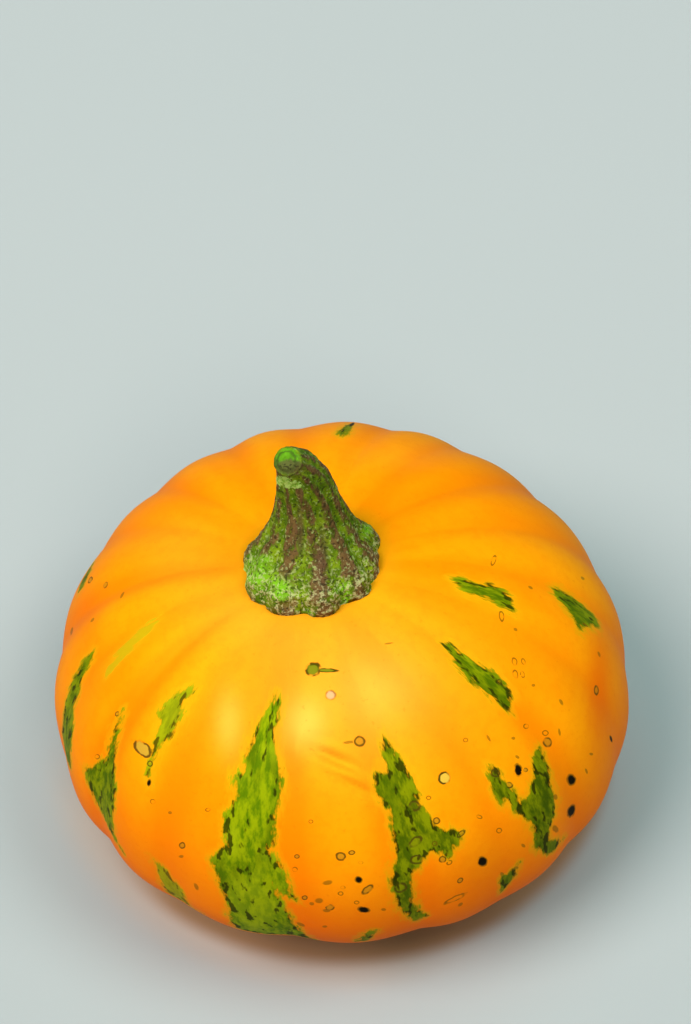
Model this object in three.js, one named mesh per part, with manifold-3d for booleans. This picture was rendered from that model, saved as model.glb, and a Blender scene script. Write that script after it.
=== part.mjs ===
// An acorn squash as picked, in millimetres, +Z up: a ribbed fruit that stands on its flattened blossom end, and
// the stalk that it hung by. The origin is the middle of the bounding box's underside, and the front is -Y.
// Azimuths are counted in degrees from +X towards +Y.
import * as THREE from "three";
import { mergeVertices } from "three/addons/utils/BufferGeometryUtils.js";
import Module from "manifold-3d";

// The fruit's outline, seen from the side, before its ribs are pressed in
const FRUIT_RADIUS = 67.5;
const CROWN_RISE = 49; // from the widest level up to the crown
const BASE_DROP = 36; // from the widest level down to the blossom end
const CROWN_FULLNESS = 2.15; // 2 is an ellipse, and more is squarer
const BASE_FULLNESS = 2.38;
const CAVITY = { depth: 6, radius: 26 }; // the hollow that the stalk stands in
const FLAT_SPOT_CUT = 0.8; // how much of the blossom end the ground has flattened
const LEAN_DEG = 4.2; // the fruit leans towards -X as it rises
const CROWN_SHIFT = 3; // and its crown has drifted a little further

// Each furrow's azimuth in degrees, and its depth in millimetres where it is deepest
const FURROWS = [
  [1, 0.8],
  [19, 0.9],
  [39, 1.1],
  [58, 0.9],
  [75, 1.2],
  [97, 1.0],
  [115, 1.1],
  [136, 1.0],
  [154, 0.8],
  [178, 1.2],
  [197, 0.6],
  [215, 1.4],
  [234, 1.0],
  [259, 1.5],
  [286, 1.3],
  [304, 0.6],
  [323, 1.0],
  [342, 0.7],
];
const FURROW_SHARPNESS = 1.3; // 1 is a crease, and 2 is nearer to a wave
const FURROW_START = { crown: [12, 38], base: [9, 34] }; // radii between which a furrow deepens from nothing
const BASE_FURROW_SHARE = 0.6; // how deep the furrows still are beneath the widest level
const ROUNDNESS_ERROR = [
  { lobes: 2, size: 0.5, azimuth: 40 },
  { lobes: 3, size: 0.55, azimuth: 95 },
];

// The stalk, measured from the middle of its foot
const STALK_SPINE = [
  [0, 0, 0],
  [-0.8, 2.6, 16.7],
  [-1.5, 4.9, 28.9],
  [-5.4, -1.7, 38.3],
];
const STALK_SUNK = 4; // how far its foot goes on below the crown, before the fruit's skin is cut from it
const STALK_RADIUS = 8.6;
const STALK_TAPER = 0.11; // radius lost per millimetre of height
const TIP_NARROWING = { by: 1, from: 24 };
const FOOT_FLARE = 6.5; // how far the foot spreads past the stalk
const FOOT_FLARE_HEIGHT = 6.6;
const FOOT_FLARE_FULLNESS = 1.3; // 1 is a hollow slope, and more is a rounder shoulder
const FOOT_EDGE = 2.4; // height of the foot's blunt edge
const STALK_RIDGES = 10;
const RIDGE_HEIGHT = { foot: 1.5, tip: 0.45 };
const RIDGE_START_DEG = 28; // one ridge's azimuth at the foot
const RIDGE_TWIST_DEG = -10; // and how far it turns on the way up
const FOOT_LOBES = [
  { lobes: 2, size: 0.9, azimuth: 223 },
  { lobes: 3, size: 0.3, azimuth: 315 },
  { lobes: 7, size: 0.35, azimuth: 20 },
];
const CUT_DOME = 0.7; // the cut end is a little domed
const GAP = 0.35; // between the stalk's foot and the fruit's skin

const FRUIT_STEPS = { round: 108, high: 34 };
const STALK_STEPS = { round: 60, high: 22 };

const radians = THREE.MathUtils.degToRad;
const { smoothstep, lerp } = THREE.MathUtils;

// The sum of a few waves round the axis
function lobes(waves, angle) {
  return waves.reduce(
    (sum, w) => sum + w.size * Math.cos(w.lobes * (angle - radians(w.azimuth))),
    0,
  );
}

// How deep the furrows are at an azimuth, in millimetres: a furrow's own depth in it, and 0 on a rib's back
function furrowDepth(angle) {
  const degrees = THREE.MathUtils.euclideanModulo(
    THREE.MathUtils.radToDeg(angle) - FURROWS[0][0],
    360,
  );
  const starts = FURROWS.map(([azimuth]) => azimuth - FURROWS[0][0]);
  const here = starts.findLastIndex((start) => start <= degrees);
  const next = (here + 1) % FURROWS.length;
  const end = next === 0 ? 360 : starts[next];
  const across = (degrees - starts[here]) / (end - starts[here]);
  const valley = 1 - Math.sin(Math.PI * across) ** FURROW_SHARPNESS;
  return valley * lerp(FURROWS[here][1], FURROWS[next][1], smoothstep(across, 0, 1));
}

// The fruit's skin at a latitude, from -90 degrees at the blossom end to 90 at the stalk
function fruitPoint(angle, latitude) {
  const upper = latitude >= 0;
  const power = 2 / (upper ? CROWN_FULLNESS : BASE_FULLNESS);
  const radius = FRUIT_RADIUS * Math.cos(latitude) ** power;
  const rise = Math.abs(Math.sin(latitude)) ** power;
  let height = upper ? CROWN_RISE * rise : -BASE_DROP * rise;
  if (upper) height -= CAVITY.depth * Math.exp(-((radius / CAVITY.radius) ** 2));

  const [start, full] = upper ? FURROW_START.crown : FURROW_START.base;
  const below = smoothstep(-height, 0, BASE_DROP);
  const reach = smoothstep(radius, start, full) * lerp(1, BASE_FURROW_SHARE, below);
  const out = lobes(ROUNDNESS_ERROR, angle) - furrowDepth(angle);
  const grown = 1 + (reach * out) / Math.hypot(radius, height);

  const share = (height * grown + BASE_DROP) / (CROWN_RISE + BASE_DROP);
  const lean = radians(LEAN_DEG) * share;
  const x = radius * grown * Math.cos(angle);
  const z = height * grown + BASE_DROP;
  return new THREE.Vector3(
    x * Math.cos(lean) - z * Math.sin(lean) - CROWN_SHIFT * Math.max(share, 0) ** 4,
    radius * grown * Math.sin(angle),
    x * Math.sin(lean) + z * Math.cos(lean),
  );
}

// A closed skin over rings of points, from a lowest point to a highest one
function ringedSolid(lowest, rings, highest) {
  const round = rings[0].length;
  const points = [lowest, ...rings.flat(), highest];
  const last = points.length - 1;
  const index = [];
  const at = (row, step) => 1 + row * round + (step % round);
  for (let step = 0; step < round; step++) {
    index.push(0, at(0, step + 1), at(0, step));
    index.push(last, at(rings.length - 1, step), at(rings.length - 1, step + 1));
    for (let row = 0; row + 1 < rings.length; row++) {
      index.push(at(row, step), at(row, step + 1), at(row + 1, step + 1));
      index.push(at(row, step), at(row + 1, step + 1), at(row + 1, step));
    }
  }
  return new THREE.BufferGeometry().setFromPoints(points).setIndex(index);
}

function fruitGeometry() {
  const rings = [];
  for (let row = 1; row < FRUIT_STEPS.high; row++) {
    const latitude = Math.PI * (row / FRUIT_STEPS.high - 0.5);
    rings.push(
      Array.from({ length: FRUIT_STEPS.round }, (_, step) =>
        fruitPoint((2 * Math.PI * step) / FRUIT_STEPS.round, latitude),
      ),
    );
  }
  return ringedSolid(fruitPoint(0, -Math.PI / 2), rings, fruitPoint(0, Math.PI / 2));
}

// The stalk's radius at a height up its spine
function stalkRadius(angle, height) {
  const top = STALK_SPINE[3][2];
  const narrowed = TIP_NARROWING.by * smoothstep(height, TIP_NARROWING.from, top);
  const core = STALK_RADIUS - STALK_TAPER * height - narrowed;
  const aboveEdge = Math.max(height - FOOT_EDGE, 0) / FOOT_FLARE_HEIGHT;
  const spread = Math.exp(-(aboveEdge ** FOOT_FLARE_FULLNESS));
  const turned = angle - radians(RIDGE_START_DEG + (RIDGE_TWIST_DEG * height) / top);
  const ridge = Math.abs(Math.cos((STALK_RIDGES / 2) * turned)) ** 0.8 - 0.5;
  const tall = smoothstep(height, 0, top);
  const ridgeHeight = lerp(RIDGE_HEIGHT.foot, RIDGE_HEIGHT.tip, tall);
  return core + spread * (FOOT_FLARE + lobes(FOOT_LOBES, angle)) + ridge * ridgeHeight;
}

function stalkGeometry(foot) {
  const spine = new THREE.CubicBezierCurve3(
    ...STALK_SPINE.map((point) => new THREE.Vector3(...point)),
  );
  const rings = [];
  const side = new THREE.Vector3(1, 0, 0);
  for (let row = 0; row <= STALK_STEPS.high; row++) {
    // Rows crowd towards the foot, where the stalk flares
    const t = (row / STALK_STEPS.high) ** 1.6;
    const along = spine.getTangent(t);
    const across = side.clone().addScaledVector(along, -side.dot(along)).normalize();
    const behind = along.clone().cross(across);
    const centre = spine.getPoint(t).add(foot);
    rings.push(
      Array.from({ length: STALK_STEPS.round }, (_, step) => {
        const angle = (2 * Math.PI * step) / STALK_STEPS.round;
        const radius = stalkRadius(angle, t * STALK_SPINE[3][2]);
        return centre
          .clone()
          .addScaledVector(across, radius * Math.cos(angle))
          .addScaledVector(behind, radius * Math.sin(angle));
      }),
    );
  }
  const sunk = new THREE.Vector3(0, 0, -STALK_SUNK);
  rings.unshift(rings[0].map((point) => point.clone().add(sunk)));
  const cut = spine.getPoint(1).addScaledVector(spine.getTangent(1), CUT_DOME).add(foot);
  return ringedSolid(foot.clone().add(sunk), rings, cut);
}

const wasm = await Module();
wasm.setup();

function toSolid(geometry) {
  const merged = mergeVertices(geometry);
  return new wasm.Manifold(
    new wasm.Mesh({
      numProp: 3,
      vertProperties: new Float32Array(merged.attributes.position.array),
      triVerts: new Uint32Array(merged.index.array),
    }),
  );
}

function toGeometry(solid) {
  const { vertProperties, triVerts } = solid.getMesh();
  const geometry = new THREE.BufferGeometry();
  geometry.setAttribute("position", new THREE.BufferAttribute(vertProperties, 3));
  return geometry.setIndex(new THREE.BufferAttribute(triVerts, 1));
}

const skin = fruitGeometry();
skin.computeBoundingBox();
const ground = new THREE.BoxGeometry(4 * FRUIT_RADIUS, 4 * FRUIT_RADIUS, BASE_DROP);
ground.translate(0, 0, skin.boundingBox.min.z + FLAT_SPOT_CUT - BASE_DROP / 2);
ground.deleteAttribute("normal");
ground.deleteAttribute("uv");
const fruitSolid = toSolid(skin).subtract(toSolid(ground));

const foot = fruitPoint(0, Math.PI / 2);
const raisedFruit = toSolid(skin.clone().translate(0, 0, GAP));
const stalkSolid = toSolid(stalkGeometry(foot)).subtract(raisedFruit);

function piece(name, solid, colour, roughness) {
  const material = new THREE.MeshStandardMaterial({ color: colour, roughness, metalness: 0 });
  const mesh = new THREE.Mesh(toGeometry(solid), material);
  mesh.name = name;
  return mesh;
}

const squash = new THREE.Group();
squash.add(piece("fruit", fruitSolid, 0xf79410, 0.38));
squash.add(piece("stalk", stalkSolid, 0x67752a, 0.8));

const bounds = new THREE.Box3().setFromObject(squash);
const middle = bounds.getCenter(new THREE.Vector3());
squash.position.set(-middle.x, -middle.y, -bounds.min.z);

export default squash;
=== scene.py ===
"""Looks of the acorn squash: a flecked and specked rind, a corky stalk, a pale table and soft light.

Lengths are in millimetres until a mesh is made. Azimuths are in degrees from +X to +Y. The front is -Y.
"""

import math

import bpy
import numpy as np
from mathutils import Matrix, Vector, noise
from mathutils.bvhtree import BVHTree


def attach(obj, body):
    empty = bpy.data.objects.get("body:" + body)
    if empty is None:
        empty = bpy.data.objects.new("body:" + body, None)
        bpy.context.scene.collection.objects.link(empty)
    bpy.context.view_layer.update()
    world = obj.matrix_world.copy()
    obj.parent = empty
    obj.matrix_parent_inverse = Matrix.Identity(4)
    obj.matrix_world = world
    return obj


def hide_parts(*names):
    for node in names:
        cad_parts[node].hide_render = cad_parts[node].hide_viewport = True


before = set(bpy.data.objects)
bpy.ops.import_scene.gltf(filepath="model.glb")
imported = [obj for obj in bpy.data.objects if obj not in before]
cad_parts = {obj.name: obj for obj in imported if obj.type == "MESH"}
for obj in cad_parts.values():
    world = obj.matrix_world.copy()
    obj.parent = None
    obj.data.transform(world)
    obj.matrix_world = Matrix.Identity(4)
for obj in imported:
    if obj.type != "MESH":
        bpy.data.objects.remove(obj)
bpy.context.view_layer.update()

MM = 0.001

# The middle of the blossom end, in the frame's coordinates
BASE = np.array([1.22, -0.52, -0.8])

# The fruit, as its solid has it
FRUIT_RADIUS = 67.5
CROWN_RISE = 49
BASE_DROP = 36
CROWN_FULLNESS = 2.15
BASE_FULLNESS = 2.38
CAVITY_DEPTH = 6
CAVITY_RADIUS = 26
LEAN_DEG = 4.2
CROWN_SHIFT = 3.0
FURROWS = np.array(
    [
        (1, 0.8),
        (19, 0.9),
        (39, 1.1),
        (58, 0.9),
        (75, 1.2),
        (97, 1.0),
        (115, 1.1),
        (136, 1.0),
        (154, 0.8),
        (178, 1.2),
        (197, 0.6),
        (215, 1.4),
        (234, 1.0),
        (259, 1.5),
        (286, 1.3),
        (304, 0.6),
        (323, 1.0),
        (342, 0.7),
    ]
)
FURROW_SHARPNESS = 1.3
FURROW_START_CROWN = (12, 38)
FURROW_START_BASE = (9, 34)
BASE_FURROW_SHARE = 0.6
ROUNDNESS_ERROR = [(2, 0.5, 40), (3, 0.55, 95)]

# The rind's finer shape, which its solid leaves out
SKIN_INSET = 0.15
UNEVENNESS = 0.3
PRESSED_EDGE = 0.3
PRESSED_UP_TO = 20
PRESSED_FULLY = 10
BLOSSOM_PIT = {"depth": 1.7, "radius": 6.5}
BLOSSOM_BUTTON = {"height": 0.9, "radius": 2.6}
UNDENTED_HEIGHT = 4
MEAN_RADIUS = 60
FRUIT_STEPS = (384, 250)

# The stalk, as its solid has it, but with a rounder cut end and a foot less deep in the fruit
STALK_SPINE = [(0, 0, 0), (-0.8, 2.6, 16.7), (-1.5, 4.9, 28.9), (-5.4, -1.7, 38.3)]
STALK_SUNK = 2.5
STALK_RADIUS = 8.6
STALK_TAPER = 0.11
TIP_NARROWING = 1
TIP_NARROWING_FROM = 24
FOOT_FLARE = 6.5
FOOT_FLARE_HEIGHT = 6.6
FOOT_FLARE_FULLNESS = 1.3
FOOT_EDGE = 2.4
STALK_RIDGES = 10
RIDGE_HEIGHT = (1.5, 0.45)
RIDGE_FADE = 0.8
RIDGE_FADE_FROM = 0.88
RIDGE_START_DEG = 28
RIDGE_TWIST_DEG = -10
FOOT_LOBES = [(2, 0.9, 223), (3, 0.3, 315), (7, 0.35, 20)]
CUT_DOME = 1.5
CUT_HEART_DEPTH = 0.5
CUT_HEART_SHARE = 0.3
GRAIN_HEIGHT = 0.16
LUMP_HEIGHT = 0.45
STALK_INSET = 0.2
STALK_STEPS = (300, 170)
STALK_CROWDING = 1.4

# The camera: the picture's size, how it looks at the fruit, and where in the picture the fruit's heart is
IMAGE = (691, 1024)
VIEW_DISTANCE = 800
VIEW_ELEVATION_DEG = 52.5
FOCAL_PIXELS = 3394
MIDDLE_PIXEL = (347.5, 682.5)
HEART = BASE + np.array([0, 0, BASE_DROP])
EDGE_SEARCH_PIXELS = 60

# A point is seen where its normal turns to the camera by more than this
FRUIT_FACING = 0.02
STALK_FACING = -0.1

# Green flecks that the photograph shows: how dark, how strong, and the outline in the photograph's pixels
FLECKS = {
    "tall_front": (
        0.25,
        1.0,
        [
            (276, 691), (282, 702), (279, 714), (274, 730), (276, 754), (283, 776), (282, 799), (276, 818),
            (276, 838), (271, 849), (286, 875), (297, 902), (284, 897), (273, 884), (290, 916), (314, 942),
            (287, 940), (263, 938), (235, 928), (226, 899), (210, 859), (226, 845), (222, 813), (232, 807),
            (235, 794), (232, 773), (245, 771), (245, 756), (254, 733), (270, 704),
        ],
    ),
    "forked": (
        0.6,
        1.0,
        [
            (382, 732), (392, 743), (400, 758), (412, 776), (422, 804), (433, 824), (447, 829), (465, 831),
            (459, 846), (450, 856), (428, 854), (412, 876), (415, 894), (412, 902), (427, 916), (416, 922),
            (398, 907), (390, 881), (395, 857), (393, 827), (389, 811), (376, 797), (373, 775), (387, 773),
            (383, 756),
        ],
    ),
    "bent_right": (
        0.65,
        1.0,
        [
            (489, 764), (500, 768), (502, 780), (509, 784), (522, 801), (530, 797), (531, 784), (534, 757),
            (539, 746), (543, 754), (549, 773), (557, 807), (550, 830), (549, 842), (565, 839), (550, 854),
            (534, 847), (536, 835), (531, 823), (519, 815), (508, 799), (500, 805), (491, 789),
        ],
    ),
    "low_right": (0.75, 1.0, [(519, 863), (516, 875), (508, 886), (502, 892), (500, 878), (509, 874)]),
    "high_right": (
        0.48,
        1.0,
        [
            (451, 578), (460, 576), (478, 584), (491, 583), (501, 587), (509, 593), (514, 605), (517, 614),
            (503, 608), (491, 601), (471, 595), (460, 587),
        ],
    ),
    "high_right_edge": (
        0.48,
        1.0,
        [
            (552, 589), (561, 588), (575, 599), (592, 612), (600, 623), (600, 630), (586, 625), (579, 632),
            (573, 616), (560, 601),
        ],
    ),
    "slanting": (
        0.5,
        1.0,
        [
            (441, 641), (452, 642), (459, 651), (481, 663), (493, 670), (503, 681), (518, 696), (510, 698),
            (514, 715), (501, 704), (481, 690), (468, 678), (455, 663),
        ],
    ),
    "left_edge": (
        0.5,
        1.0,
        [
            (94, 651), (92, 660), (82, 678), (78, 695), (73, 706), (73, 730), (71, 770), (66, 762),
            (62, 737), (65, 703), (71, 683), (83, 660),
        ],
    ),
    "left": (
        0.5,
        1.0,
        [
            (123, 709), (120, 724), (117, 741), (116, 789), (114, 834), (125, 855), (109, 829), (96, 803),
            (84, 768), (97, 762), (106, 758), (110, 741), (116, 724),
        ],
    ),
    "left_middle": (
        0.35,
        0.84,
        [
            (198, 685), (193, 696), (184, 702), (183, 716), (172, 738), (162, 745), (156, 759), (149, 783),
            (145, 775), (153, 747), (160, 724), (158, 714), (165, 703), (176, 692),
        ],
    ),
    "low_left": (
        0.5,
        0.8,
        [(151, 857), (162, 866), (180, 888), (192, 908), (200, 918), (184, 910), (168, 893), (158, 872)],
    ),
    "yellow_streak": (
        0.0,
        0.62,
        [(161, 615), (150, 631), (129, 653), (105, 677), (102, 671), (121, 648), (144, 626)],
    ),
    "bottom": (0.8, 0.9, [(356, 942), (364, 934), (377, 930), (372, 937), (366, 943)]),
    "back_top": (0.7, 1.0, [(337, 432), (343, 425), (353, 423), (350, 430), (342, 437)]),
    "left_rim": (0.6, 1.0, [(93, 561), (89, 574), (83, 585), (78, 593), (80, 582), (86, 568)]),
}

# Flecks where the photograph doesn't look: azimuth, height, length, width, lean in degrees, how dark
UNSEEN_FLECKS = [
    (8, 28, 14, 7, 12, 0.6),
    (26, 22, 26, 11, -8, 0.4),
    (42, 40, 17, 6, 20, 0.6),
    (57, 27, 40, 12, 5, 0.35),
    (74, 46, 16, 6, -15, 0.5),
    (88, 20, 30, 13, 10, 0.4),
    (104, 40, 26, 7, -10, 0.6),
    (121, 24, 38, 12, -4, 0.3),
    (131, 44, 15, 5, 15, 0.5),
    (148, 38, 14, 7, 14, 0.6),
    (163, 18, 34, 12, 0, 0.4),
    (205, 12, 24, 8, 6, 0.5),
    (283, 7, 22, 8, -14, 0.5),
    (318, 9, 26, 10, 8, 0.6),
    (345, 12, 18, 8, -10, 0.5),
    (61, 21, 17, 7, -52, 0.4),
    (93, 25, 18, 6, 50, 0.45),
    (116, 31, 20, 7, -44, 0.35),
    (168, 24, 15, 6, 42, 0.5),
    (30, 14, 14, 6, 48, 0.5),
    (38, 9, 16, 8, -6, 0.6),
    (108, 9, 18, 7, 12, 0.6),
    (143, 12, 20, 9, -12, 0.4),
    (79, 33, 9, 4, 20, 0.5),
    (66, 44, 8, 4, -30, 0.6),
    (92, 50, 12, 4, 15, 0.5),
    (188, 8, 16, 7, 0, 0.5),
]

# Marks by kind, each in the photograph's pixels: x, y, half length, half width, tilt in degrees
DOT = 1
RING = 2
FAINT_RING = 3
SMUDGE = 4
PINK_SPOT = 5
SCAR = 6
SCAB = 7
PALE_RING = 8
MARKS = {
    DOT: [
        (519, 770, 6.5, 4, 80), (572, 780, 5.5, 4.5, 70), (572, 811, 6.5, 3.5, 110), (483, 862, 5, 5, 0),
        (359, 880, 3.7, 3.3, 20), (364, 910, 5.8, 3, 10), (612, 739, 3.8, 1.2, 75),
        (352, 424, 3, 1.5, -30), (149, 783, 3.5, 2, 100),
    ],
    PALE_RING: [(445, 778, 6.3, 6.2, 0)],
    RING: [
        (360, 741, 5.2, 5, 0), (597, 690, 4.8, 2.2, 85), (548, 742, 4.6, 4, 70), (526, 770, 2.6, 2, 0),
        (500, 682, 3, 2.2, 60), (182, 846, 3, 3, 0), (341, 857, 5, 4, 10), (352, 853, 3.2, 2.3, -15),
        (368, 890, 6.8, 3.2, -35), (297, 857, 2.5, 2.1, 0), (305, 898, 2.8, 2, 0),
        (415, 806, 5.5, 5.2, 0), (416, 842, 7.5, 4, -35), (417, 860, 6.3, 4.4, -10),
        (401, 888, 6, 5, -10), (462, 834, 5, 2.4, -40), (437, 821, 3.4, 3.2, 0),
        (330, 908, 4.4, 2.6, -10), (443, 860, 3.6, 3, -20), (150, 764, 2.6, 2.8, 0),
        (461, 881, 3.2, 2, -40), (117, 714, 2.6, 2, -50), (496, 773, 4.5, 4, 0), (510, 785, 3.4, 3, 0),
        (105, 585, 3.4, 2, -60), (90, 580, 3.4, 1.6, -60),
    ],
    FAINT_RING: [
        (295, 870, 2.8, 2.4, 0), (361, 863, 2.4, 1.6, 0), (357, 903, 2.6, 1.8, 0), (341, 894, 2.8, 2, 0),
        (343, 888, 2.4, 1.6, 0), (450, 863, 3, 2, -30), (97, 757, 2.6, 2.4, 0), (153, 802, 2.6, 2.4, 0),
        (516, 674, 4, 2.6, 70), (523, 674, 3.4, 2, 70), (515, 661, 4, 2.5, 70), (524, 661, 3.2, 2, 70),
        (502, 616, 5, 2.4, 80), (546, 733, 3, 2.6, 0), (480, 817, 3, 1.8, 20), (494, 560, 5.5, 2.2, 110),
        (527, 726, 2.6, 2.4, 0), (435, 844, 2.6, 2.4, 0), (456, 899, 12, 2.2, -25), (429, 798, 2.4, 2, 0),
        (466, 740, 2.2, 2, 0), (208, 810, 2.6, 1.8, -10), (311, 822, 2.2, 1.8, 0),
        (500, 831, 2.6, 2.4, 0),
    ],
    SMUDGE: [
        (328, 883, 5, 2.2, -10), (341, 857, 4, 3, 10), (319, 901, 4.2, 2.6, 0), (312, 904, 2.4, 1.8, 0),
        (327, 911, 4, 1.8, 0), (384, 910, 2.6, 1.4, 0), (325, 927, 2.6, 1.2, 0), (301, 925, 5, 1.6, 20),
        (461, 905, 3, 1.6, -30), (503, 875, 3, 2, 60), (401, 805, 2.2, 2.6, 0), (583, 578, 2.4, 1.4, 40),
        (600, 654, 3, 1.2, 70), (562, 702, 3.6, 1.6, 60), (587, 771, 3, 1.2, 70), (592, 754, 2, 1.4, 0),
        (514, 738, 2.4, 1.8, 0), (518, 757, 2.6, 1.6, 40), (489, 738, 4, 1.4, 60), (560, 732, 4, 1.2, 80),
        (531, 587, 2.6, 1.2, 30), (494, 561, 2.4, 1.4, 20), (534, 685, 2, 1.6, 0), (389, 643, 5, 0.9, -8),
        (350, 742, 7, 1.6, -6), (516, 629, 2.4, 1.6, 40), (181, 857, 2.4, 1.6, 0), (170, 813, 2, 1.6, 0),
        (405, 766, 1.6, 1.4, 0), (517, 868, 2.4, 1.4, 0), (196, 887, 4, 2, 60), (556, 797, 3, 2.2, 80),
        (556, 829, 4, 3, 60), (524, 846, 2.4, 1.6, 40), (92, 620, 2.8, 1.2, -50), (122, 595, 4, 1.2, -60),
        (71, 631, 4, 1.2, -75),
    ],
    PINK_SPOT: [(331, 695, 5, 5, 0)],
    SCAR: [(313, 669, 7.5, 6.5, -30), (327, 670, 11, 2, 2)],
    SCAB: [(142.5, 749, 10.5, 6.5, 42)],
}
UNSEEN_MARKS = 130
UNSEEN_MARK_HEIGHTS = (3, 74)
MARK_REACH = 8
MARK_SEED = 8

# The filling and the rim of each kind of mark, with how strongly they cover the rind
NO_MARK = (0, 0, 0, 0)
MARK_COLOURS = {
    DOT: ((0.006, 0.004, 0.002, 1), (0.05, 0.04, 0.002, 0.6)),
    RING: ((0.30, 0.16, 0.007, 0.6), (0.055, 0.038, 0.003, 0.88)),
    FAINT_RING: ((0.6, 0.2, 0.002, 0.15), (0.10, 0.06, 0.002, 0.8)),
    SMUDGE: ((0.12, 0.07, 0.003, 0.65), (0.12, 0.07, 0.002, 0.2)),
    PINK_SPOT: ((0.66, 0.34, 0.17, 0.85), (0.05, 0.01, 0.005, 0.55)),
    SCAR: ((0.10, 0.16, 0.004, 0.9), (0.012, 0.02, 0.001, 0.9)),
    SCAB: ((0.40, 0.27, 0.025, 0.8), (0.09, 0.045, 0.004, 0.95)),
    PALE_RING: ((0.55, 0.42, 0.05, 0.75), (0.04, 0.032, 0.003, 0.95)),
}

# Painted highlights and painted shade on the rind, paler where positive and deeper where negative: x, y,
# half width
#  and half height in the photograph's pixels, and the amount
PAINTED_LIGHT_SPOTS = [
    (345, 690, 130, 105, 0.28),
    (228, 724, 15, 34, 0.34),
    (306, 724, 20, 26, 0.42),
    (380, 690, 42, 36, 0.2),
    (250, 610, 90, 45, 0.15),
    (410, 455, 90, 22, 0.15),
    (515, 520, 75, 55, -0.22),
    (175, 545, 60, 45, 0.14),
    (85, 615, 26, 60, -0.4),
    (320, 935, 160, 28, -0.4),
    (500, 890, 80, 40, -0.4),
    (600, 685, 16, 70, -0.6),
]

# Shallow dents and folds of the rind in the photograph's pixels: x, y, half length, half width, tilt, depth
DENTS = [
    (334, 758, 26, 6, 24, 1.9),
    (346, 774, 26, 5, 27, -0.7),
    (357, 787, 22, 5, 30, 1.1),
    (322, 738, 15, 7, 10, 0.6),
    (300, 745, 10, 22, 10, -0.7),
    (236, 850, 4, 26, 25, -0.25),
]


def smoothstep(value, low, high):
    share = np.clip((value - low) / (high - low), 0, 1)
    return share * share * (3 - 2 * share)


def unit(vector):
    return vector / np.linalg.norm(vector, axis=-1, keepdims=True)


def waves(terms, azimuth):
    return sum(size * np.cos(count * np.radians(azimuth - start)) for count, size, start in terms)


def rough(points, scale, detail=2, seed=0.0):
    """Smooth noise from about -1 to 1 at points, with features about scale across."""
    shift = Vector((seed, 2 * seed, -seed))
    flat = np.reshape(points, (-1, 3)) / scale
    values = [noise.fractal(Vector(p) + shift, 1.0, 2.0, detail) for p in flat.tolist()]
    return np.reshape(values, np.shape(points)[:-1])


# The fruit
def furrow_depth(azimuth):
    starts = FURROWS[:, 0] - FURROWS[0, 0]
    degrees = (azimuth - FURROWS[0, 0]) % 360
    here = np.searchsorted(starts, degrees, side="right") - 1
    following = (here + 1) % len(FURROWS)
    end = np.where(following == 0, 360, starts[following])
    across = (degrees - starts[here]) / (end - starts[here])
    valley = 1 - np.sin(np.pi * across) ** FURROW_SHARPNESS
    blend = smoothstep(across, 0, 1)
    return valley * (FURROWS[here, 1] * (1 - blend) + FURROWS[following, 1] * blend)


def fruit_surface(azimuth, latitude):
    """Points of the rind, from latitude -90 at the blossom end to 90 at the stalk, and furrow depths."""
    upper = latitude >= 0
    power = 2 / np.where(upper, CROWN_FULLNESS, BASE_FULLNESS)
    radius = FRUIT_RADIUS * np.abs(np.cos(np.radians(latitude))) ** power
    rise = np.abs(np.sin(np.radians(latitude))) ** power
    cavity = CAVITY_DEPTH * np.exp(-((radius / CAVITY_RADIUS) ** 2))
    height = np.where(upper, CROWN_RISE * rise - cavity, -BASE_DROP * rise)

    from_crown = smoothstep(radius, *FURROW_START_CROWN)
    from_base = smoothstep(radius, *FURROW_START_BASE)
    below = smoothstep(-height, 0, BASE_DROP)
    share = np.where(upper, from_crown, from_base) * (1 + (BASE_FURROW_SHARE - 1) * below)
    depth = furrow_depth(azimuth)
    out = waves(ROUNDNESS_ERROR, azimuth) - depth
    grown = 1 + (share * out - SKIN_INSET) / np.hypot(radius, height)

    x = radius * grown * np.cos(np.radians(azimuth))
    y = radius * grown * np.sin(np.radians(azimuth))
    z = height * grown + BASE_DROP
    risen = z / (CROWN_RISE + BASE_DROP)
    lean = np.radians(LEAN_DEG) * risen
    shift = CROWN_SHIFT * np.maximum(risen, 0) ** 4
    leaned = [x * np.cos(lean) - z * np.sin(lean) - shift, y, x * np.sin(lean) + z * np.cos(lean)]
    return np.stack(leaned, -1) + BASE, depth * share, radius


def on_table(points, radius):
    """The same points with the blossom end pressed nearly flat on the table, round a small pit."""
    height = points[..., 2]
    pressed = 0.5 * (height + np.sqrt(height**2 + PRESSED_EDGE))
    pit = BLOSSOM_PIT["depth"] * np.exp(-((radius / BLOSSOM_PIT["radius"]) ** 2))
    button = BLOSSOM_BUTTON["height"] * np.exp(-((radius / BLOSSOM_BUTTON["radius"]) ** 4))
    low = smoothstep(-height, -PRESSED_UP_TO, -PRESSED_FULLY)
    points[..., 2] = height + low * (pressed - height + pit - button)
    return points


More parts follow.
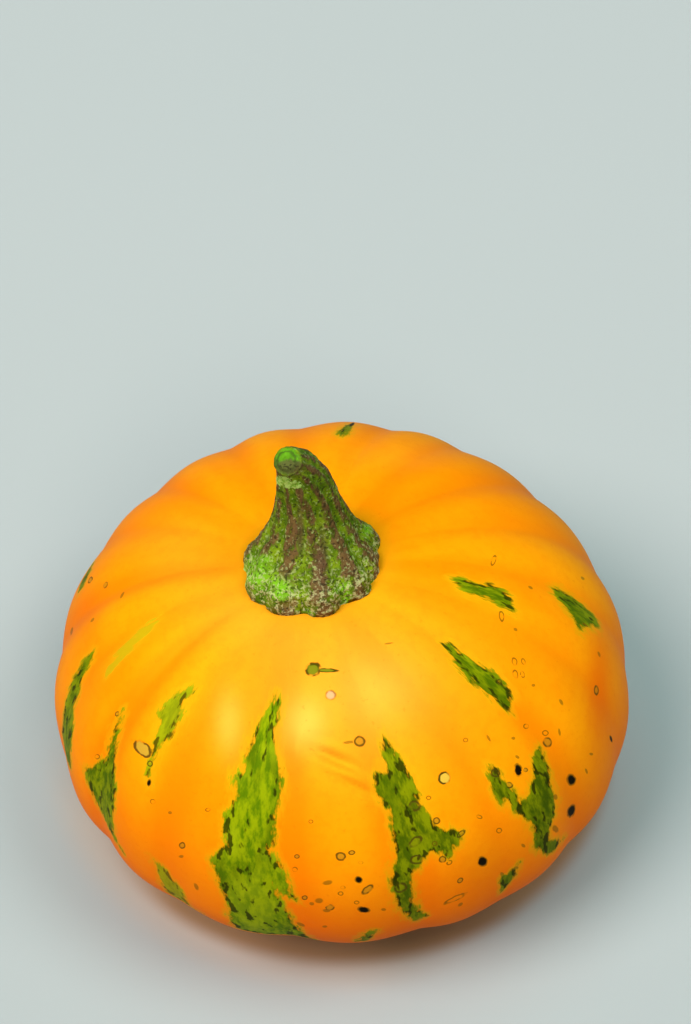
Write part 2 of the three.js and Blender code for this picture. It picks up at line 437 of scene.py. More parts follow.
def ringed_mesh(name, lowest, rings, highest):
    """A closed mesh, in metres, over rings of points from a lowest point to a highest one."""
    rows, count = rings.shape[:2]
    points = np.vstack([lowest[None], rings.reshape(-1, 3), highest[None]])
    step = np.arange(count)
    after = (step + 1) % count
    first = 1 + count * np.arange(rows - 1)[:, None]
    quads = np.stack([first + step, first + after, first + after + count, first + step + count], -1)
    top = len(points) - 1
    last = top - count
    faces = quads.reshape(-1, 4).tolist()
    faces += np.stack([0 * step, 1 + after, 1 + step], -1).tolist()
    faces += np.stack([0 * step + top, last + step, last + after], -1).tolist()
    mesh = bpy.data.meshes.new(name)
    mesh.from_pydata((points * MM).tolist(), [], faces)
    mesh.shade_smooth()
    piece = bpy.data.objects.new(name, mesh)
    bpy.context.scene.collection.objects.link(piece)
    return piece, points, faces


def normals_of(piece):
    values = np.zeros(3 * len(piece.data.vertices))
    piece.data.vertices.foreach_get("normal", values)
    return values.reshape(-1, 3)


def move_points(piece, points):
    piece.data.vertices.foreach_set("co", (points * MM).ravel())
    piece.data.update()


def store(piece, name, values, domain="POINT"):
    kind, key = ("FLOAT", "value") if np.ndim(values) == 1 else ("FLOAT_VECTOR", "vector")
    attribute = piece.data.attributes.new(name, kind, domain)
    attribute.data.foreach_set(key, np.asarray(values, np.float32).ravel())


# The camera's geometry, with which the photograph's pixels are found on the fruit
elevation = math.radians(VIEW_ELEVATION_DEG)
eye = HEART + VIEW_DISTANCE * np.array([0, -math.cos(elevation), math.sin(elevation)])
pitch = elevation - math.atan((MIDDLE_PIXEL[1] - IMAGE[1] / 2) / FOCAL_PIXELS)
yaw = -math.atan((MIDDLE_PIXEL[0] - IMAGE[0] / 2) / FOCAL_PIXELS)
level = np.array([0, math.cos(pitch), -math.sin(pitch)])
sideways = np.array([1.0, 0, 0])
forward = level * math.cos(yaw) + sideways * math.sin(yaw)
rightward = sideways * math.cos(yaw) - level * math.sin(yaw)
upward = np.cross(rightward, forward)


def pixels_of(points):
    ahead = (points - eye) @ forward
    x = IMAGE[0] / 2 + FOCAL_PIXELS * ((points - eye) @ rightward) / ahead
    y = IMAGE[1] / 2 - FOCAL_PIXELS * ((points - eye) @ upward) / ahead
    return np.stack([x, y], -1)


def point_under(tree, pixel):
    """The first point that the camera sees at a pixel. A pixel just off the edge is moved onto it."""
    pixel = np.array(pixel, float)
    inward = unit(np.array(MIDDLE_PIXEL) - pixel)
    for _ in range(EDGE_SEARCH_PIXELS):
        across = (pixel[0] - IMAGE[0] / 2) / FOCAL_PIXELS
        down = (pixel[1] - IMAGE[1] / 2) / FOCAL_PIXELS
        ray = forward + rightward * across - upward * down
        hit = tree.ray_cast(Vector(eye), Vector(unit(ray)))[0]
        if hit is not None:
            return np.array(hit)
        pixel = pixel + inward
    raise ValueError(f"the pixel {pixel} is off the piece")


def tilted(offsets, tilt_deg):
    """Offsets turned so that the first one runs along the tilt."""
    cos, sin = math.cos(math.radians(tilt_deg)), math.sin(math.radians(tilt_deg))
    along = offsets[..., 0] * cos + offsets[..., 1] * sin
    across = offsets[..., 1] * cos - offsets[..., 0] * sin
    return np.stack([along, across], -1)


def flat_map(points, middle):
    """Points as distances over the rind, to the right and up, from the point in the middle."""
    ahead = unit(middle - HEART)
    east = unit(np.cross([0, 0, 1], ahead))
    north = np.cross(ahead, east)
    away = unit(points - HEART)
    angle = np.arccos(np.clip(away @ ahead, -1, 1))
    turn = np.arctan2(away @ north, away @ east)
    length = angle * np.linalg.norm(middle - HEART)
    return np.stack([length * np.cos(turn), length * np.sin(turn)], -1)


def inside_distance(points, outline):
    """How far points are inside a closed outline, or outside it where negative."""
    nearest = np.full(len(points), np.inf)
    inside = np.zeros(len(points), bool)
    for start, end in zip(outline, np.roll(outline, -1, 0)):
        edge = end - start
        share = np.clip((points - start) @ edge / (edge @ edge), 0, 1)
        nearest = np.minimum(nearest, np.linalg.norm(points - start - share[:, None] * edge, axis=1))
        crosses = (start[1] > points[:, 1]) != (end[1] > points[:, 1])
        rise = edge[1] if edge[1] else 1e-9
        at = start[0] + (points[:, 1] - start[1]) * edge[0] / rise
        inside ^= crosses & (points[:, 0] < at)
    return np.where(inside, nearest, -nearest)


count, rows = FRUIT_STEPS
azimuths = 360 * np.arange(count) / count
latitudes = 180 * np.arange(1, rows) / rows - 90
azimuth_grid, latitude_grid = np.meshgrid(azimuths, latitudes)
rings, furrows, radii = fruit_surface(azimuth_grid, latitude_grid)
ends, _, end_radii = fruit_surface(np.zeros(2), np.array([-90.0, 90.0]))
fruit, fruit_points, fruit_faces = ringed_mesh(
    "fruit_rind", on_table(ends[:1], end_radii[:1])[0], on_table(rings, radii), ends[1]
)

fruit_normals = normals_of(fruit)
fruit_tree = BVHTree.FromPolygons(fruit_points.tolist(), fruit_faces)
seen = (unit(eye - fruit_points) * fruit_normals).sum(1) > FRUIT_FACING
fruit_pixels = pixels_of(fruit_points)

dent = UNEVENNESS * (0.5 - 0.5 * rough(fruit_points, 30, 2))
for x, y, half_length, half_width, tilt, depth in DENTS:
    offsets = tilted(fruit_pixels - (x, y), tilt) / (half_length, half_width)
    dent += seen * depth * np.exp(-((offsets**2).sum(1)))
off_table = smoothstep(fruit_points[:, 2], 0, UNDENTED_HEIGHT)
fruit_points = fruit_points - fruit_normals * (dent * off_table)[:, None]
move_points(fruit, fruit_points)

# Each point's distance inside the nearest fleck, that fleck's darkness and its strength
OUTSIDE = -9.0
FLECK_REACH = 60
fleck = np.tile([OUTSIDE, 0.5, 1.0], (len(fruit_points), 1))


def add_fleck(distance, darkness, strength):
    closer = distance > fleck[:, 0]
    fleck[closer, 0] = distance[closer]
    fleck[closer, 1] = darkness
    fleck[closer, 2] = strength


for darkness, strength, outline in FLECKS.values():
    corners = np.array([point_under(fruit_tree, pixel) for pixel in outline])
    middle = corners.mean(0)
    mapped = flat_map(fruit_points, middle)
    distance = inside_distance(mapped, flat_map(corners, middle))
    distance[np.linalg.norm(fruit_points - middle, axis=1) > FLECK_REACH] = OUTSIDE
    add_fleck(distance, darkness, strength)

for index, (azimuth, height, length, width, lean, darkness) in enumerate(UNSEEN_FLECKS):
    outward = np.array([math.cos(math.radians(azimuth)), math.sin(math.radians(azimuth))])
    aim = unit(np.array([*(outward * MEAN_RADIUS), height - HEART[2]]))
    middle = np.array(fruit_tree.ray_cast(Vector(HEART), Vector(aim))[0])
    mapped = tilted(flat_map(fruit_points, middle), 90 + lean)
    along = mapped[:, 0] / (length / 2)
    sway = 0.25 * width * rough(np.stack([along, 0 * along, 0 * along], -1) * 10, 9, 2, 3.1 * index)
    edge = 1 - np.abs(along) ** 1.5 + 0.35 * rough(fruit_points, 7, 2, 1.7 * index)
    distance = 0.5 * width * edge - np.abs(mapped[:, 1] - sway)
    distance[np.linalg.norm(fruit_points - middle, axis=1) > length] = OUTSIDE
    add_fleck(np.minimum(distance, 6), darkness, 1)

store(fruit, "fleck", fleck)

# Where a point is along and round the fruit, for streaks that run from end to end
turns = np.radians(np.concatenate([[0], azimuth_grid.ravel(), [0]]))
runs = np.radians(np.concatenate([[-90], latitude_grid.ravel(), [90]]))
store(fruit, "streaks", MEAN_RADIUS * MM * np.stack([np.cos(turns), np.sin(turns), runs], -1))
store(fruit, "furrow", np.concatenate([[0], furrows.ravel(), [0]]))
# Painted highlights and painted shade, carried to the rind's material as an attribute
painted_light = np.zeros(len(fruit_points))
for x, y, half_width, half_height, amount in PAINTED_LIGHT_SPOTS:
    offsets = (fruit_pixels - (x, y)) / (half_width, half_height)
    painted_light += seen * amount * np.exp(-((offsets**2).sum(1)))
store(fruit, "painted_light", painted_light)
store(fruit, "from_axis", np.concatenate([[0], radii.ravel(), [0]]))

# Small marks: each face corner's place in its mark, in units of the mark's size, and the mark's kind
corner_points = np.zeros(len(fruit.data.loops), np.int64)
fruit.data.loops.foreach_get("vertex_index", corner_points)
corner_faces = np.repeat(np.arange(len(fruit_faces)), [len(face) for face in fruit_faces])
FAR_OFF = 9.0
MARK_MARGIN = 1.5
corner_marks = np.tile([FAR_OFF, FAR_OFF, 0.0], (len(corner_points), 1))
face_reach = np.full(len(fruit_faces), FAR_OFF)


def add_mark(places, kind, reach):
    """places: each fruit point's place in the mark. reach is a face's size in the same units."""
    away = np.linalg.norm(places, axis=1)
    near = away[corner_points] < MARK_MARGIN + reach
    nearest = np.full(len(fruit_faces), FAR_OFF)
    np.minimum.at(nearest, corner_faces[near], away[corner_points[near]])
    taken = nearest < face_reach
    face_reach[taken] = nearest[taken]
    corners = taken[corner_faces]
    corner_marks[corners, :2] = places[corner_points[corners]]
    corner_marks[corners, 2] = kind


NOWHERE = 99
FACE_PIXELS = 3
for kind, marks in MARKS.items():
    for x, y, half_length, half_width, tilt in marks:
        places = tilted(fruit_pixels - (x, y), tilt) / (half_length, half_width)
        add_mark(np.where(seen[:, None], places, NOWHERE), kind, FACE_PIXELS / half_width)

FACE_MM = 0.7
draw = np.random.default_rng(MARK_SEED)
low, high = UNSEEN_MARK_HEIGHTS
hidden = np.flatnonzero(~seen & (fruit_points[:, 2] > low) & (fruit_points[:, 2] < high))
for index in draw.choice(hidden, UNSEEN_MARKS, replace=False):
    kind = draw.choice([DOT, RING, FAINT_RING, SMUDGE], p=[0.14, 0.26, 0.35, 0.25])
    half_width = draw.uniform(0.35, 1.0) * (1.2 if kind == RING else 1)
    half_length = half_width * draw.uniform(1, 1.9)
    mapped = tilted(flat_map(fruit_points, fruit_points[index]), draw.uniform(0, 180))
    far = np.linalg.norm(fruit_points - fruit_points[index], axis=1) > MARK_REACH
    places = np.where(far[:, None], NOWHERE, mapped / (half_length, half_width))
    add_mark(places, kind, FACE_MM / half_width)

store(fruit, "mark", corner_marks, "CORNER")


# The stalk
def bezier(points, share):
    a, b, c, d = np.array(points, float)
    t = share[..., None]
    place = a * (1 - t) ** 3 + 3 * b * t * (1 - t) ** 2 + 3 * c * t**2 * (1 - t) + d * t**3
    along = 3 * (b - a) * (1 - t) ** 2 + 6 * (c - b) * t * (1 - t) + 3 * (d - c) * t**2
    return place, unit(along)


def stalk_rings(azimuth, share):
    height = share * STALK_SPINE[3][2]
    above_edge = np.maximum(height - FOOT_EDGE, 0) / FOOT_FLARE_HEIGHT
    spread = np.exp(-(above_edge**FOOT_FLARE_FULLNESS))
    turned = np.radians(azimuth - RIDGE_START_DEG - RIDGE_TWIST_DEG * share)
    ridge = np.abs(np.cos(STALK_RIDGES / 2 * turned)) ** 0.8 - 0.5
    top = STALK_SPINE[3][2]
    tall = smoothstep(height, 0, top)
    faded = 1 - RIDGE_FADE * smoothstep(share, RIDGE_FADE_FROM, 1)
    ridge_height = faded * (RIDGE_HEIGHT[0] * (1 - tall) + RIDGE_HEIGHT[1] * tall)
    narrowed = TIP_NARROWING * smoothstep(height, TIP_NARROWING_FROM, top)
    core = STALK_RADIUS - STALK_TAPER * height - narrowed
    radius = core + spread * (FOOT_FLARE + waves(FOOT_LOBES, azimuth)) + ridge * ridge_height
    place, along = bezier(STALK_SPINE, share)
    across = unit(np.array([1.0, 0, 0]) - along[..., :1] * along)
    behind = np.cross(along, across)
    cos, sin = np.cos(np.radians(azimuth))[..., None], np.sin(np.radians(azimuth))[..., None]
    return place + radius[..., None] * (across * cos + behind * sin), ridge, spread


foot = ends[1]
count, rows = STALK_STEPS
azimuths = 360 * np.arange(count) / count
shares = (np.arange(rows + 1) / rows) ** STALK_CROWDING
azimuth_grid, share_grid = np.meshgrid(azimuths, shares)
side, ridge, spread = stalk_rings(azimuth_grid, share_grid)
tip, tip_along = bezier(STALK_SPINE, np.array([1.0]))

# The cut end: rings that close over a low dome with a sunken heart
CUT_RINGS = 22
shrink = 1 - np.arange(1, CUT_RINGS) / CUT_RINGS
bulge = CUT_DOME * (1 - shrink**2) - CUT_HEART_DEPTH * np.exp(-((shrink / CUT_HEART_SHARE) ** 2))
cut = tip + (side[-1] - tip) * shrink[:, None, None] + tip_along * bulge[:, None, None]
sunk = side[:1] - np.array([0, 0, STALK_SUNK])
rings = np.concatenate([sunk, side, cut])
heart = (tip + tip_along * (CUT_DOME - CUT_HEART_DEPTH))[0]
stalk, stalk_points, _ = ringed_mesh(
    "stalk_cork", foot - (0, 0, STALK_SUNK), rings + foot, heart + foot
)

stalk_ridge = np.concatenate([[0], ridge[0], ridge.ravel(), np.zeros(count * (CUT_RINGS - 1)), [0]])
stalk_cut = np.concatenate([np.zeros(1 + count + side[..., 0].size), np.repeat(1 - shrink, count), [1]])
stalk_spread = np.concatenate([[1], spread[0], spread.ravel(), np.zeros(count * (CUT_RINGS - 1)), [0]])

stalk_normals = normals_of(stalk)
grain = GRAIN_HEIGHT * rough(stalk_points, 1.3, 3) * (0.5 + stalk_spread)
lumps = LUMP_HEIGHT * rough(stalk_points, 4.5, 2, 5.0) * (0.3 + 0.7 * stalk_spread)
stalk_points = stalk_points + stalk_normals * (grain + lumps - STALK_INSET)[:, None]
move_points(stalk, stalk_points)
store(stalk, "ridge", stalk_ridge)
store(stalk, "cut", stalk_cut)
store(stalk, "foot", stalk_spread)

# Tints at places of the photograph: x, y, half width, half height
STALK_TINTS = {
    "vivid": [
        (256, 575, 14, 20), (279, 590, 14, 15), (345, 592, 9, 9), (262, 560, 9, 6), (312, 610, 5, 6),
        (368, 528, 5, 8),
    ],
    "lime": [(282, 481, 12, 5), (293, 485, 10, 4.5), (245, 574, 3, 14)],
    "brown": [(290, 467, 15, 8), (322, 560, 6, 30), (337, 603, 5, 3), (300, 530, 4, 25)],
}
stalk_pixels = pixels_of(stalk_points)
stalk_seen = (unit(eye - stalk_points) * stalk_normals).sum(1) > STALK_FACING
tints = []
for spots in STALK_TINTS.values():
    tint = np.zeros(len(stalk_points))
    for x, y, half_width, half_height in spots:
        offsets = (stalk_pixels - (x, y)) / (half_width, half_height)
        tint = np.maximum(tint, stalk_seen * np.exp(-((offsets**2).sum(1) ** 1.5)))
    tints.append(tint)
store(stalk, "tint", np.stack(tints, -1))


# Materials
class Finish:
    """A material's nodes, each made by a short call."""

    def __init__(self, name):
        self.material = bpy.data.materials.new(name)
        self.material.use_nodes = True
        self.tree = self.material.node_tree
        self.shader = self.tree.nodes["Principled BSDF"]
        self.place = self.node("ShaderNodeTexCoord", {}).outputs["Object"]

    def feed(self, socket, value):
        if isinstance(value, bpy.types.NodeSocket):
            self.tree.links.new(value, socket)
        elif isinstance(value, tuple) and len(value) == 3 and socket.type == "RGBA":
            socket.default_value = (*value, 1)
        else:
            socket.default_value = value

    def node(self, kind, inputs, **settings):
        node = self.tree.nodes.new(kind)
        for name, value in settings.items():
            setattr(node, name, value)
        for key, value in inputs.items():
            self.feed(node.inputs[key], value)
        return node

    def attribute(self, name, output="Fac"):
        return self.node("ShaderNodeAttribute", {}, attribute_name=name).outputs[output]

    def split(self, vector):
        return self.node("ShaderNodeSeparateXYZ", {0: vector}).outputs

    def math(self, operation, a, b=0.0, c=0.0):
        return self.node("ShaderNodeMath", {0: a, 1: b, 2: c}, operation=operation).outputs[0]

    def step(self, value, low, high, start=0.0, end=1.0):
        inputs = {0: value, 1: low, 2: high, 3: start, 4: end}
        return self.node("ShaderNodeMapRange", inputs, interpolation_type="SMOOTHSTEP").outputs[0]

    def noise(self, vector, scale, detail=2.0, roughness=0.5):
        inputs = {"Vector": vector, "Scale": scale, "Detail": detail, "Roughness": roughness}
        return self.node("ShaderNodeTexNoise", inputs).outputs["Fac"]

    def stretched(self, vector, scale):
        return self.node("ShaderNodeVectorMath", {0: vector, 1: scale}, operation="MULTIPLY").outputs[0]

    def mix(self, share, a, b):
        return self.node("ShaderNodeMix", {0: share, 6: a, 7: b}, data_type="RGBA").outputs[2]

    def by_kind(self, kind, colours):
        """The colour and strength that belong to a mark's kind, with those of no mark first."""
        kinds = len(colours)
        node = self.node("ShaderNodeValToRGB", {0: self.math("DIVIDE", kind, kinds)})
        ramp = node.color_ramp
        ramp.interpolation = "CONSTANT"
        for index, colour in enumerate(colours):
            stop = ramp.elements[index] if index < 2 else ramp.elements.new(0.999)
            stop.position = max(0, (index - 0.5) / kinds)
            stop.color = colour
        return node.outputs

    def bump(self, height, distance, strength=1.0, below=None):
        inputs = {"Height": height, "Distance": distance, "Strength": strength}
        if below is not None:
            inputs["Normal"] = below
        return self.node("ShaderNodeBump", inputs).outputs[0]

    def finish(self, **sockets):
        for name, value in sockets.items():
            self.feed(self.shader.inputs[name.replace("_", " ")], value)
        return self.material


def rind_colour(f, streaks):
    """Orange, deeper in the furrows, in soft blotches and low down, with painted highlights and painted
    shade at places.
    """
    blotch = f.noise(f.stretched(streaks, (1, 1, 0.5)), 38, 3)
    furrow = f.step(f.attribute("furrow"), 0.1, 1.0)
    colour = f.mix(f.step(blotch, 0.3, 0.7), (0.76, 0.21, 0.0005), (0.79, 0.275, 0.0015))
    height = f.split(f.place)[2]
    furrow_tint = f.math("MULTIPLY", furrow, f.step(height, 0.062, 0.085, 0.6, 0.15))
    colour = f.mix(furrow_tint, colour, (0.72, 0.155, 0.0004))
    mottle = f.step(f.noise(f.place, 420, 4, 0.65), 0.42, 0.68)
    colour = f.mix(f.math("MULTIPLY", mottle, 0.22), colour, (0.70, 0.16, 0.0004))
    colour = f.mix(f.step(height, 0.062, 0.006), colour, (0.76, 0.12, 0.0003))
    # Painted highlight where the attribute is positive, painted shade where it is negative
    painted_light = f.attribute("painted_light")
    colour = f.mix(f.step(painted_light, 0.0, 1.0), colour, (0.84, 0.43, 0.06))
    colour = f.mix(f.step(painted_light, 0.0, -1.0), colour, (0.68, 0.09, 0.0003))
    freckle = f.step(f.noise(f.place, 900, 2), 0.64, 0.76)
    colour = f.mix(f.math("MULTIPLY", freckle, 0.25), colour, (0.62, 0.13, 0.001))
    return colour, blotch


def with_flecks(f, streaks, colour):
    """Ragged green flecks with a soft yellow-green border, streaked along the fruit."""
    depth, darkness, strength = f.split(f.attribute("fleck", "Vector"))
    long_noise = f.noise(f.stretched(streaks, (1, 1, 0.34)), 540, 3, 0.65)
    fine_noise = f.noise(f.stretched(streaks, (1, 1, 0.4)), 1300, 2, 0.6)
    ragged = f.math("ADD", depth, f.math("MULTIPLY_ADD", long_noise, 4.6, -2.3))
    ragged = f.math("ADD", ragged, f.math("MULTIPLY_ADD", fine_noise, 1.8, -0.9))
    halo = f.math("MULTIPLY", f.step(ragged, -2.0, 0.3), f.math("MULTIPLY", strength, 0.5))
    colour = f.mix(halo, colour, (0.46, 0.33, 0.003))
    green = f.mix(f.step(long_noise, 0.36, 0.64), (0.08, 0.15, 0.0008), (0.225, 0.285, 0.0015))
    olive = f.mix(f.step(long_noise, 0.36, 0.64), (0.04, 0.065, 0.0006), (0.15, 0.175, 0.001))
    green = f.mix(f.step(darkness, 0.15, 0.75), green, olive)
    heart = f.step(f.noise(f.stretched(streaks, (1, 1, 0.35)), 150, 3), 0.5, 0.68)
    green = f.mix(f.math("MULTIPLY", heart, 0.55), green, (0.04, 0.075, 0.0006))
    fresh = f.step(f.noise(f.place, 75, 2), 0.54, 0.68, 0.0, 0.35)
    fresh = f.math("MULTIPLY", fresh, f.step(darkness, 0.6, 0.3, 0.1, 1.0))
    green = f.mix(fresh, green, (0.29, 0.35, 0.005))
    edge = f.math("MULTIPLY", f.step(depth, -0.6, 0.3), f.step(depth, 2.6, 0.6))
    speckle = f.noise(f.stretched(streaks, (1, 1, 0.4)), 620, 2)
    green = f.mix(f.step(strength, 0.95, 0.6), green, (0.33, 0.335, 0.004))
    dark_spot = f.step(f.math("MULTIPLY_ADD", edge, 0.09, speckle), 0.6, 0.69)
    dark_spot = f.math("MULTIPLY", dark_spot, f.step(strength, 0.6, 0.85, 0.0, 0.85))
    green = f.mix(dark_spot, green, (0.012, 0.013, 0.0008))
    inside = f.math("MULTIPLY", f.step(ragged, -0.5, 0.6), f.step(strength, 0.2, 0.95))
    colour = f.mix(inside, colour, green)
    return colour, inside, long_noise


def with_marks(f, colour, inside):
    """Small marks, each with a filling and a rim that is broken in places."""
    u, v, kind = f.split(f.attribute("mark", "Vector"))
    wobble = f.math("MULTIPLY_ADD", f.noise(f.place, 700, 1), 0.5, -0.25)
    distance = f.math("SQRT", f.math("ADD", f.math("MULTIPLY", u, u), f.math("MULTIPLY", v, v)))
    distance = f.math("ADD", distance, wobble)
    fillings = [colours[0] for colours in MARK_COLOURS.values()]
    rims = [colours[1] for colours in MARK_COLOURS.values()]
    filling = f.by_kind(kind, [NO_MARK, *fillings])
    rim = f.by_kind(kind, [NO_MARK, *rims])
    is_dot = f.math("LESS_THAN", kind, DOT + 0.5)
    clear = f.math("MAXIMUM", is_dot, f.step(inside, 0.7, 0.1, 0.1, 1.0))
    filled = f.math("MULTIPLY", f.math("MULTIPLY", f.step(distance, 1.0, 0.7), filling["Alpha"]), clear)
    colour = f.mix(filled, colour, filling["Color"])
    rim_width = f.math("MULTIPLY_ADD", f.math("GREATER_THAN", kind, SCAB - 0.5), -0.1, 0.34)
    around = f.step(f.math("ABSOLUTE", f.math("SUBTRACT", distance, 0.9)), rim_width, 0.06)
    broken = f.step(f.noise(f.place, 480, 1), 0.36, 0.5, 0.25, 1.0)
    rim_share = f.math("MULTIPLY", f.math("MULTIPLY", around, broken), rim["Alpha"])
    colour = f.mix(rim_share, colour, rim["Color"])
    return colour, rim_share


def with_ends(f, colour):
    """A dull ring round the stalk's foot, and the corky scar of the blossom."""
    from_axis = f.attribute("from_axis")
    high = f.step(f.split(f.place)[2], 0.05, 0.06)
    round_foot = f.math("MULTIPLY", f.step(from_axis, 22.0, 15.0), f.math("MULTIPLY", high, 0.45))
    colour = f.mix(round_foot, colour, (0.5, 0.27, 0.004))
    low = f.math("SUBTRACT", 1.0, high)
    wavy = f.math("MULTIPLY_ADD", f.noise(f.place, 300, 3), 3.0, from_axis)
    scar = f.math("MULTIPLY", f.step(wavy, 5.6, 4.6), low)
    round_scar = f.math("MULTIPLY", f.step(wavy, 12.0, 5.0), f.math("MULTIPLY", low, 0.6))
    colour = f.mix(round_scar, colour, (0.30, 0.26, 0.01))
    cork = f.mix(f.step(f.noise(f.place, 1400, 3), 0.35, 0.65), (0.10, 0.06, 0.025), (0.36, 0.26, 0.13))
    colour = f.mix(scar, colour, cork)
    return colour, scar


def rind_finish():
    f = Finish("rind")
    streaks = f.attribute("streaks", "Vector")
    colour, blotch = rind_colour(f, streaks)
    colour, inside, long_noise = with_flecks(f, streaks, colour)
    colour, rim_share = with_marks(f, colour, inside)
    colour, scar = with_ends(f, colour)

    pores = f.noise(f.place, 1700, 2, 0.6)
    orange_peel = f.noise(f.place, 420, 2)
    relief = f.bump(orange_peel, 0.00012, 0.5)
    relief = f.bump(pores, 0.00003, 0.5, relief)
    relief = f.bump(f.math("MULTIPLY", rim_share, -1.0), 0.0001, 0.6, relief)
    relief = f.bump(f.math("MULTIPLY", inside, long_noise), 0.00015, 0.6, relief)
    gloss = f.math("MULTIPLY_ADD", blotch, 0.12, 0.4)
    gloss = f.mix(inside, gloss, (0.5, 0.5, 0.5))
    gloss = f.mix(scar, gloss, (0.85, 0.85, 0.85))
    f.shader.inputs["IOR"].default_value = 1.07
    f.shader.inputs["Specular IOR Level"].default_value = 0.5
    f.shader.inputs["Specular Tint"].default_value = (1.0, 0.9, 0.3, 1)
    f.shader.inputs["Metallic"].default_value = 0.04
    return f.finish(Base_Color=colour, Roughness=gloss, Normal=relief)


def stalk_finish():
    f = Finish("stalk")
    ridge = f.attribute("ridge")
    cut = f.attribute("cut")
    foot_share = f.attribute("foot")
    vivid, lime, brown = f.split(f.attribute("tint", "Vector"))
    lengthwise = f.stretched(f.place, (1, 1, 0.3))

    # Green furrows between brown ridges
    streak = f.noise(lengthwise, 520, 3, 0.6)
    patch = f.noise(f.place, 260, 4, 0.6)
    ridge_share = f.math("ADD", ridge, f.math("MULTIPLY_ADD", streak, 2.0, -1.0))
    green = f.mix(f.step(patch, 0.35, 0.65), (0.055, 0.115, 0.002), (0.15, 0.235, 0.005))
    bark = f.mix(f.step(streak, 0.38, 0.62), (0.04, 0.017, 0.007), (0.13, 0.065, 0.026))
    colour = f.mix(f.step(ridge_share, 0.1, 0.45, 0.0, 0.9), green, bark)
    colour = f.mix(f.math("MULTIPLY", brown, 0.8), colour, (0.10, 0.055, 0.025))
    vivid_share = f.math("MULTIPLY", vivid, f.step(patch, 0.35, 0.6, 0.3, 0.95))
    colour = f.mix(vivid_share, colour, (0.15, 0.39, 0.008))

    # Pale corky grains, thickest on the foot, and dark pits between them
    grain = f.noise(f.place, 1150, 3, 0.6)
    pale = f.step(f.math("MULTIPLY_ADD", foot_share, 0.08, grain), 0.57, 0.67)
    rim = f.step(f.math("MULTIPLY_ADD", patch, 0.25, foot_share), 0.8, 1.15, 0.4, 0.72)
    colour = f.mix(f.math("MULTIPLY", pale, rim), colour, (0.46, 0.44, 0.21))
    dark = f.step(f.noise(f.place, 1250, 2, 0.6), 0.46, 0.36)
    colour = f.mix(f.math("MULTIPLY", dark, 0.7), colour, (0.016, 0.014, 0.005))

    # A fresh collar beneath the cut end
    lime = f.math("MULTIPLY_ADD", grain, 2.4, f.math("SUBTRACT", lime, 1.2))
    fresh_bark = f.mix(f.step(grain, 0.42, 0.6), (0.17, 0.35, 0.03), (0.40, 0.60, 0.14))
    colour = f.mix(f.step(lime, 0.25, 0.75, 0.0, 0.9), colour, fresh_bark)

    # The cut end: fresh green, dull and pitted on one side, round a darker ring
    face = f.step(f.math("MULTIPLY_ADD", grain, 0.5, cut), 0.25, 0.5)
    fresh = f.mix(f.step(patch, 0.35, 0.65), (0.05, 0.15, 0.003), (0.10, 0.29, 0.006))
    dull = f.step(f.math("MULTIPLY_ADD", grain, 1.6, brown), 0.85, 1.6)
    fresh = f.mix(f.math("MULTIPLY", dull, 0.9), fresh, (0.075, 0.07, 0.02))
    from_pith = f.math("SUBTRACT", f.math("MULTIPLY_ADD", grain, 0.3, cut), 0.5)
    pith = f.step(f.math("ABSOLUTE", from_pith), 0.13, 0.03)
    fresh = f.mix(f.math("MULTIPLY", pith, 0.6), fresh, (0.035, 0.045, 0.008))
    pitted = f.math("MULTIPLY", dull, f.step(grain, 0.5, 0.4, 0.0, 0.85))
    fresh = f.mix(pitted, fresh, (0.02, 0.018, 0.006))
    colour = f.mix(face, colour, fresh)

    relief = f.bump(streak, 0.0005, 0.7)
    relief = f.bump(grain, 0.0004, 0.8, relief)
    f.shader.inputs["Roughness"].default_value = 0.72
    f.shader.inputs["IOR"].default_value = 1.15
    return f.finish(Base_Color=colour, Normal=relief)


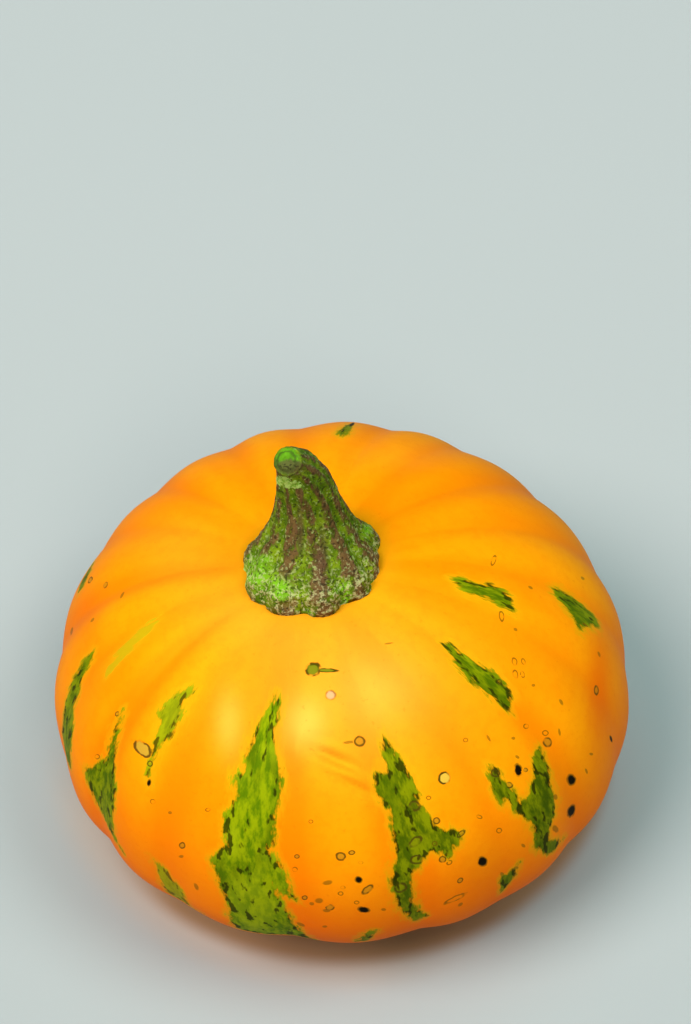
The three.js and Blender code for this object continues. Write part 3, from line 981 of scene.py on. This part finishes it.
def table_finish():
    """Pale, lighter towards the back as painted light, with painted warm bounce light and a painted dark
    reddish contact shadow beside the fruit's front.
    """
    f = Finish("table")
    x, y, _ = f.split(f.place)
    # Painted light: the table is lighter towards the back
    colour = f.mix(f.step(y, -0.15, 0.2), (0.292, 0.325, 0.323), (0.329, 0.355, 0.352))
    back = f.math("SUBTRACT", y, 0.01)
    away = f.math("SQRT", f.math("ADD", f.math("MULTIPLY", x, x), f.math("MULTIPLY", back, back)))
    in_front = f.step(y, 0.02, -0.02)
    # Painted bounce light: warmer beside the fruit's front, as its colour would be thrown there
    painted_bounce_light = f.math("MULTIPLY", f.step(away, 0.076, 0.066, 0.0, 0.8), f.step(x, 0.04, 0.0))
    colour = f.mix(f.math("MULTIPLY", painted_bounce_light, in_front), colour, (0.36, 0.335, 0.285))
    # Painted contact shadow: dark and reddish close beside the fruit's front
    painted_contact_shadow = f.math("MULTIPLY", f.step(away, 0.0685, 0.063, 0.0, 0.9), in_front)
    painted_contact_shadow = f.math("MULTIPLY", painted_contact_shadow, f.step(x, -0.06, -0.038))
    colour = f.mix(painted_contact_shadow, colour, (0.23, 0.14, 0.06))
    f.shader.inputs["Roughness"].default_value = 0.7
    f.shader.inputs["Specular IOR Level"].default_value = 0.2
    return f.finish(Base_Color=colour)


for piece, node, slot, finish in [
    (fruit, "fruit", "rind", rind_finish()),
    (stalk, "stalk", "stalk", stalk_finish()),
]:
    piece.data.materials.append(finish)
    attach(piece, "root")
    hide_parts(node)


# The table
bpy.ops.mesh.primitive_plane_add(size=8)
table = bpy.context.object
table.name = "table"
table.data.materials.append(table_finish())


# Light: a large softbox on the left, smaller ones on the right, in front and overhead, and a dim room
LIGHT_DISTANCE = 6


def softbox(name, azimuth, height_deg, size, power, colour):
    turn, lift = math.radians(azimuth), math.radians(height_deg)
    aim = Vector((math.cos(turn) * math.cos(lift), math.sin(turn) * math.cos(lift), math.sin(lift)))
    light = bpy.data.lights.new(name, "AREA")
    light.shape = "DISK"
    light.size = size
    light.energy = power
    light.color = colour
    lamp = bpy.data.objects.new(name, light)
    lamp.location = Vector(HEART * MM) + aim * LIGHT_DISTANCE
    lamp.rotation_euler = aim.to_track_quat("Z", "Y").to_euler()
    bpy.context.scene.collection.objects.link(lamp)


softbox("left", 211, 55, 3.4, 434, (1.08, 0.925, 0.895))
softbox("right", 346, 61, 2.8, 172, (0.99, 0.94, 0.92))
softbox("front", 281, 43, 2.0, 126, (1, 0.93, 0.84))
softbox("ceiling", 90, 84, 4.8, 150, (0.4, 1, 1.04))

world = bpy.data.worlds.new("room")
world.use_nodes = True
world.node_tree.nodes["Background"].inputs["Color"].default_value = (0.55, 1, 1, 1)
world.node_tree.nodes["Background"].inputs["Strength"].default_value = 0.06
bpy.context.scene.world = world

# The camera
SENSOR_MM = 36
camera_data = bpy.data.cameras.new("camera")
camera_data.sensor_width = SENSOR_MM
camera_data.lens = FOCAL_PIXELS * SENSOR_MM / IMAGE[1]
camera_data.clip_end = 30
camera = bpy.data.objects.new("camera", camera_data)
camera.location = Vector(eye * MM)
camera.rotation_euler = Vector(-forward).to_track_quat("Z", "Y").to_euler()
bpy.context.scene.collection.objects.link(camera)
bpy.context.scene.camera = camera
bpy.context.scene.view_settings.view_transform = "Standard"
